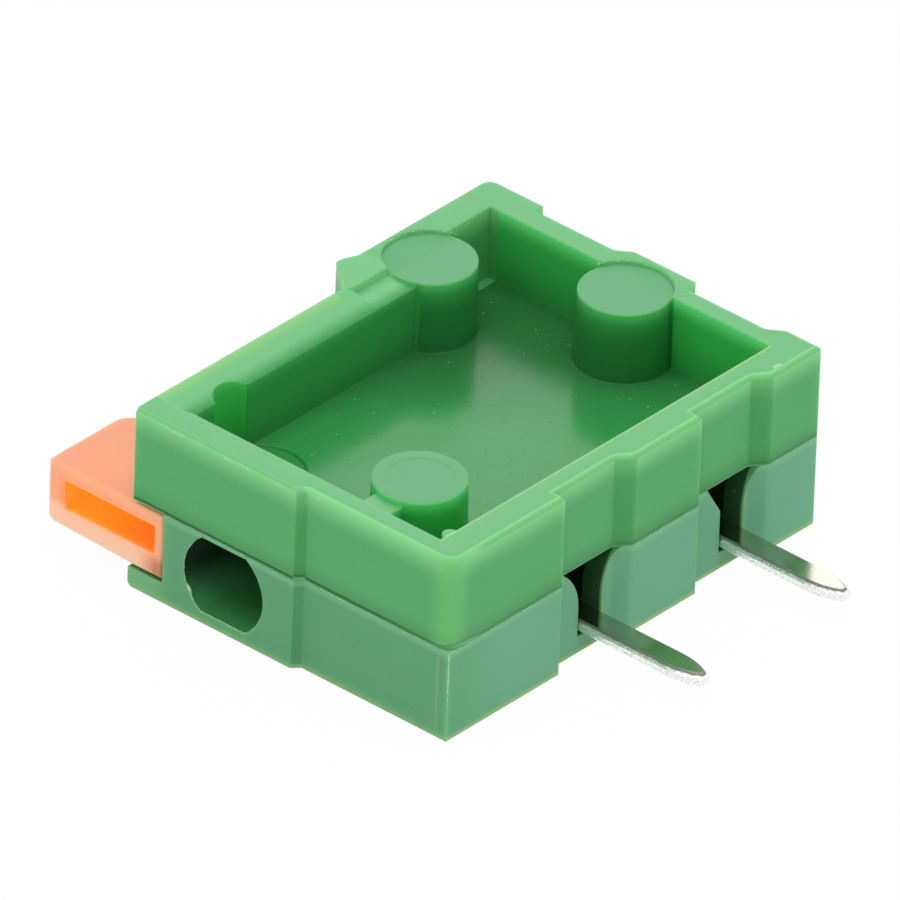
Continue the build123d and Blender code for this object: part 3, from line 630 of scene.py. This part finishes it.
# painted glow: the pocket's inside a burning orange
orange = button.mix(in_pocket, orange, (1.0, 0.310, 0.030, 1.0))
orange = button.mix(shaded * 0.6, orange, (0.560, 0.200, 0.090, 1.0))
orange = button.mix(rubbed_and_highlit * 0.7, orange, (1.0, 0.720, 0.560, 1.0))
orange = button.mix(dust, orange, (1.0, 0.800, 0.650, 1.0))
on_front = 1 - y.rise(button_low.y + 0.02 * MM, button_low.y + 0.12 * MM)
low_front = on_front * (1 - z.rise(pocket_bottom - 0.05 * MM, pocket_bottom + 0.25 * MM)) * (1 - shaded)
orange = button.mix(low_front * 0.8, orange, (1.0, 0.640, 0.480, 1.0))
# painted shade: the pocket's emitted glow darker and redder towards the housing
deep_side = x.rise(button_low.x + 0.8 * MM, TOP_FACE + 0.7 * MM) * 0.75
pocket_glow = button.mix(deep_side, (1.0, 0.490, 0.030, 1.0), (0.72, 0.100, 0.020, 1.0))
lit = button.mix(on_front * (1 - shaded), (0.0, 0.0, 0.0, 1.0), (0.50, 0.360, 0.200, 1.0))
lit = button.mix(on_front * round_pocket * 0.8, lit, (0.45, 0.150, 0.010, 1.0))
lit = button.mix(in_pocket, lit, pocket_glow)
bumps = fine * 0.6 + button.noise(0.4 * MM, 2.0) * 1.4 + dust * 1.5
button.link(
    Base_Color=orange, Emission_Color=lit, Roughness=0.38 + fine * 0.1,
    Normal=skin(button, 0.05 * MM, bumps, SKIN_DEPTH),
)
print("button plastic uses", len(button.tree.nodes), "nodes")

# %% [markdown]
# ## Tin plate and spring steel
#
# The pins are cut from tinned sheet. Their flat faces are smooth and mirror the green housing sharply.
# Their edges were sheared: a dark torn burr runs along the top of each cut, and the cut side below it is
# bright, with dents and smears of tin. Face and cut are told apart by the way the surface faces, and the
# burr by its height. The spring inside is plain rolled steel with fine lines along it.

# %% Tin and steel
tin = Finish("tin_plate_look", Metallic=1.0, IOR=1.6)
SHEET_TOP = 0.87 * MM
facing = tin.axis("Z", "Normal")
height = tin.axis("Z")
flat = facing.maths("ABSOLUTE", facing, 0.0).rise(0.86, 0.94)
cut = 1 - flat
torn = tin.noise(0.06 * MM, 4.0, (0.4, 1.0, 1.0))
crumbs = tin.noise(0.03 * MM, 3.0, (0.6, 1.0, 1.0)).rise(0.52, 0.66)
smears = tin.noise(0.30 * MM, 3.0, (0.4, 1.0, 1.0))
burr = (height + torn * (0.05 * MM)).rise(SHEET_TOP - 0.035 * MM, SHEET_TOP - 0.015 * MM) * cut
silver = tin.mix(smears, (0.52, 0.47, 0.38, 1.0), (0.70, 0.65, 0.56, 1.0))
silver = tin.mix(crumbs * (1 - cut) * 0.35, silver, (0.22, 0.22, 0.18, 1.0))
silver = tin.mix(cut, silver, (0.98, 0.98, 0.97, 1.0))
silver = tin.mix(cut * crumbs * 0.30, silver, (0.30, 0.30, 0.27, 1.0))
silver = tin.mix(burr * 0.85, silver, (0.13, 0.13, 0.11, 1.0))
bumps = smears * 0.5 + cut * (torn * 3.0 + crumbs * 2.0) + burr * torn * 5.0
tin.link(
    Base_Color=silver, Roughness=0.10 + smears * 0.08 + cut * 0.10 + burr * 0.3,
    Normal=skin(tin, 0.025 * MM, bumps, SKIN_DEPTH),
)

steel = Finish("spring_steel_look", Metallic=1.0, IOR=2.0)
lines = steel.noise(0.02 * MM, 2.0, (1.0, 1.0, 0.06))
stain = steel.noise(0.8 * MM, 2.0)
steel.link(
    Base_Color=steel.mix(stain, (0.50, 0.50, 0.48, 1.0), (0.60, 0.60, 0.58, 1.0)),
    Roughness=0.24 + lines * 0.14,
    Normal=skin(steel, 0.02 * MM, lines, 0.001 * MM),
)
print("tin uses", len(tin.tree.nodes), "nodes, steel", len(steel.tree.nodes))

# %% Dress the CAD nodes
LOOKS = {
    "housing_cover": cover,
    "housing_shell": shell,
    "release_button": button,
    "contact_frame": tin,
    "clamp_spring": steel,
}
for name, look in LOOKS.items():
    mesh = nodes[name].data
    mesh.materials.clear()
    mesh.materials.append(look.material)
print("dressed", len(LOOKS), "of", len(nodes), "nodes")

# %% [markdown]
# ## Flash
#
# Where two halves of a mould meet, a little plastic creeps between them and leaves a fin as thin as a
# hair. On this block it runs round the wire hole, round two of the tray's bosses, along the joint between
# the mouldings and down the shell's sharp corner. It could be a bump in the finish, but a fin stands out
# from the surface and catches light on its own, so it is a real sliver here. Thin as it is, much light
# gets through it, so its plastic is paler than the block's.

# %% Flash plastic
flash = Finish("flash_look", Subsurface_Weight=0.4, Subsurface_Scale=0.1 * MM, IOR=1.5, Roughness=0.4)
thinness = flash.noise(0.12 * MM, 3.0).rise(0.35, 0.65)
pale = flash.mix(thinness, (0.240, 0.580, 0.280, 1.0), (0.560, 0.800, 0.520, 1.0))
crinkles = flash.noise(0.03 * MM, 3.0)
ruffled = flash.node("ShaderNodeBump", {}, {"Height": crinkles, "Distance": 0.004 * MM})
flash.link(Base_Color=pale, Normal=ruffled)
print("flash plastic uses", len(flash.tree.nodes), "nodes")

# %% [markdown]
# Each fin is a small profile carried along a path. A ragged number between 0 and 1 tells how much of the
# fin is left at each point, because flash breaks off unevenly.

# %% Carry a profile along a path
def walk(corners, step):
    """Points along a line of corners, about one step apart: each coordinate is read off against the
    length walked so far."""
    corners = np.array(corners, float)
    legs = np.linalg.norm(np.diff(corners, axis=0), axis=1)
    walked = np.concatenate([[0.0], np.cumsum(legs)])
    marks = np.linspace(0.0, walked[-1], int(walked[-1] / step) + 2)
    return np.stack([np.interp(marks, walked, corners[:, i]) for i in range(3)], axis=-1)


def ragged(count, grain, seed, broken=0.0):
    """Uneven numbers from 0 to 1: random knots, one for each grain of points, joined by straight lines.
    The broken share of them, the lowest, is cut off at 0."""
    knots = np.random.default_rng(seed).random(max(2, count // grain + 2))
    line = np.interp(np.linspace(0, len(knots) - 1, count), np.arange(len(knots)), knots)
    return np.clip((line - broken) / (1 - broken), 0.0, 1.0)


def fin(name, path, out, rise, width, height, left, body="housing"):
    """A fin on a path. Around the path the point at the angle a is the path's own point plus cos a half
    widths along the out direction and sin a half heights along the rise direction, each times what is
    left of the fin there. Both ends are closed."""
    path, out, rise = (np.array(a, float) * np.ones((len(path), 3)) for a in (path, out, rise))
    angles = np.linspace(0, 2 * np.pi, 6, endpoint=False)
    size = np.maximum(left, 0.04)[:, None, None]
    points = (
        path[:, None]
        + size * (width / 2) * np.cos(angles)[None, :, None] * out[:, None]
        + size * (height / 2) * np.sin(angles)[None, :, None] * rise[:, None]
    )
    rows, columns = points.shape[:2]
    index = np.arange(rows * columns).reshape(rows, columns)
    turned = np.roll(index, -1, axis=1)
    quads = np.stack([index[:-1], turned[:-1], turned[1:], index[1:]], axis=-1).reshape(-1, 4)
    faces = quads.tolist() + [index[0][::-1].tolist(), index[-1].tolist()]
    along = np.cross(out, rise)
    if np.sum((path[-1] - path[0]) * along[0]) < 0:
        faces = [face[::-1] for face in faces]
    mesh = bpy.data.meshes.new(name)
    mesh.from_pydata(points.reshape(-1, 3).tolist(), [], faces)
    mesh.materials.append(flash.material)
    mesh.shade_smooth()
    piece = bpy.data.objects.new(name, mesh)
    bpy.context.scene.collection.objects.link(piece)
    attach(piece, body)
    print(name, "has", len(faces), "faces")


# %% [markdown]
# The fin round the wire hole follows the hole's own outline: an arc on each side and a flat at the bottom.
# It lies just behind the wire face and points into the hole. A torn nub of plastic is left on its lower
# left.

# %% Flash round the wire hole
def on_hole(angles, radius):
    """Points of the wire face round the hole's centre: the radius times cosine and sine of each angle."""
    zero = np.zeros_like(angles)
    return HOLE + radius * np.stack([np.cos(angles), zero, np.sin(angles)], axis=-1)


flat_corner = math.asin((HOLE[2] - HOLE_FLAT) / HOLE_RADIUS)
round_hole = np.concatenate([
    np.linspace(math.pi - 0.75, math.pi + flat_corner, 70), np.linspace(-flat_corner, 0.75, 70),
])
sunk = np.array([0.0, 0.022 * MM, 0.0])
ring = on_hole(round_hole, HOLE_RADIUS) + sunk
inwards = HOLE + sunk - ring
inwards /= np.linalg.norm(inwards, axis=1)[:, None]
fin("wire_hole_flash", ring, inwards, (0, 1, 0), 0.06 * MM, 0.036 * MM, 0.4 + 0.6 * ragged(140, 4, 3))

nub_angles = np.linspace(math.radians(202), math.radians(216), 12)
nub = on_hole(nub_angles, HOLE_RADIUS - 0.01 * MM) + [0.0, 0.04 * MM, 0.0]
fin("wire_hole_nub", nub, inwards[30], (0, 1, 0), 0.17 * MM, 0.07 * MM, np.sin(np.linspace(0.2, 2.9, 12)))

# %% [markdown]
# Round two of the bosses the rim steps down, and the edge of that step is broken into bright crumbs. They
# are fins again, on short arcs, with most of each fin broken away.

# %% Crumbs at the bosses
BOSS_EDGE = 1.161 * MM
CRUMB_DROP = 0.022 * MM
CRUMBS = {
    "first_boss_flash": (BOSSES[0], 98, 205, 11),
    "second_boss_flash": (BOSSES[1], 112, 168, 7),
}
for name, (centre, first, last, seed) in CRUMBS.items():
    angles = np.radians(np.linspace(first, last, 160))
    outwards = np.stack([np.cos(angles), np.sin(angles), np.zeros_like(angles)], axis=-1)
    arc = np.array([*centre, RIM - CRUMB_DROP]) + BOSS_EDGE * outwards
    crumbs_left = ragged(160, 3, seed, 0.45)
    fin(name, arc, outwards, (0, 0, 1), 0.10 * MM, 0.044 * MM, crumbs_left)

# %% [markdown]
# Along the joint the shell's edge carries a light, broken fin wherever the wall stands free. The wire face
# left of its step is the block's outermost plane, so no fin can stand out there, and the finish alone
# shows the joint.

# %% Flash along the joint and down the corner
STEP = 0.03
step_face = CORNER_Y / MM
board = BOARD_FACE / MM
STRETCHES = {
    "joint_flash_front": [(0.40, step_face), (board - 0.02, step_face)],
    "joint_flash_board": [(board, step_face + 0.02), (board, -2.47)],
    "joint_flash_middle": [(board, 0.08), (board, 2.36)],
    "joint_flash_back": [(board, 4.92), (board, 6.55)],
}
for seed, (name, ends) in enumerate(STRETCHES.items()):
    path = walk([(px, py, JOINT / MM - 0.014) for px, py in ends], STEP) * MM
    ahead = (path[-1] - path[0]) / np.linalg.norm(path[-1] - path[0])
    outwards = np.cross(ahead, [0.0, 0.0, 1.0])
    fin(name, path, outwards, (0, 0, 1), 0.05 * MM, 0.028 * MM, ragged(len(path), 4, seed, 0.2))

edge = walk([(board, step_face, JOINT / MM - 0.01), (board, step_face, 0.06)], STEP) * MM
fading = np.linspace(1.0, 0.25, len(edge)) * (0.35 + 0.65 * ragged(len(edge), 3, 21))
diagonal = np.array([1.0, -1.0, 0.0]) / math.sqrt(2)
fin("corner_flash", edge, diagonal, (1 / math.sqrt(2), 1 / math.sqrt(2), 0), 0.05 * MM, 0.05 * MM, fading)
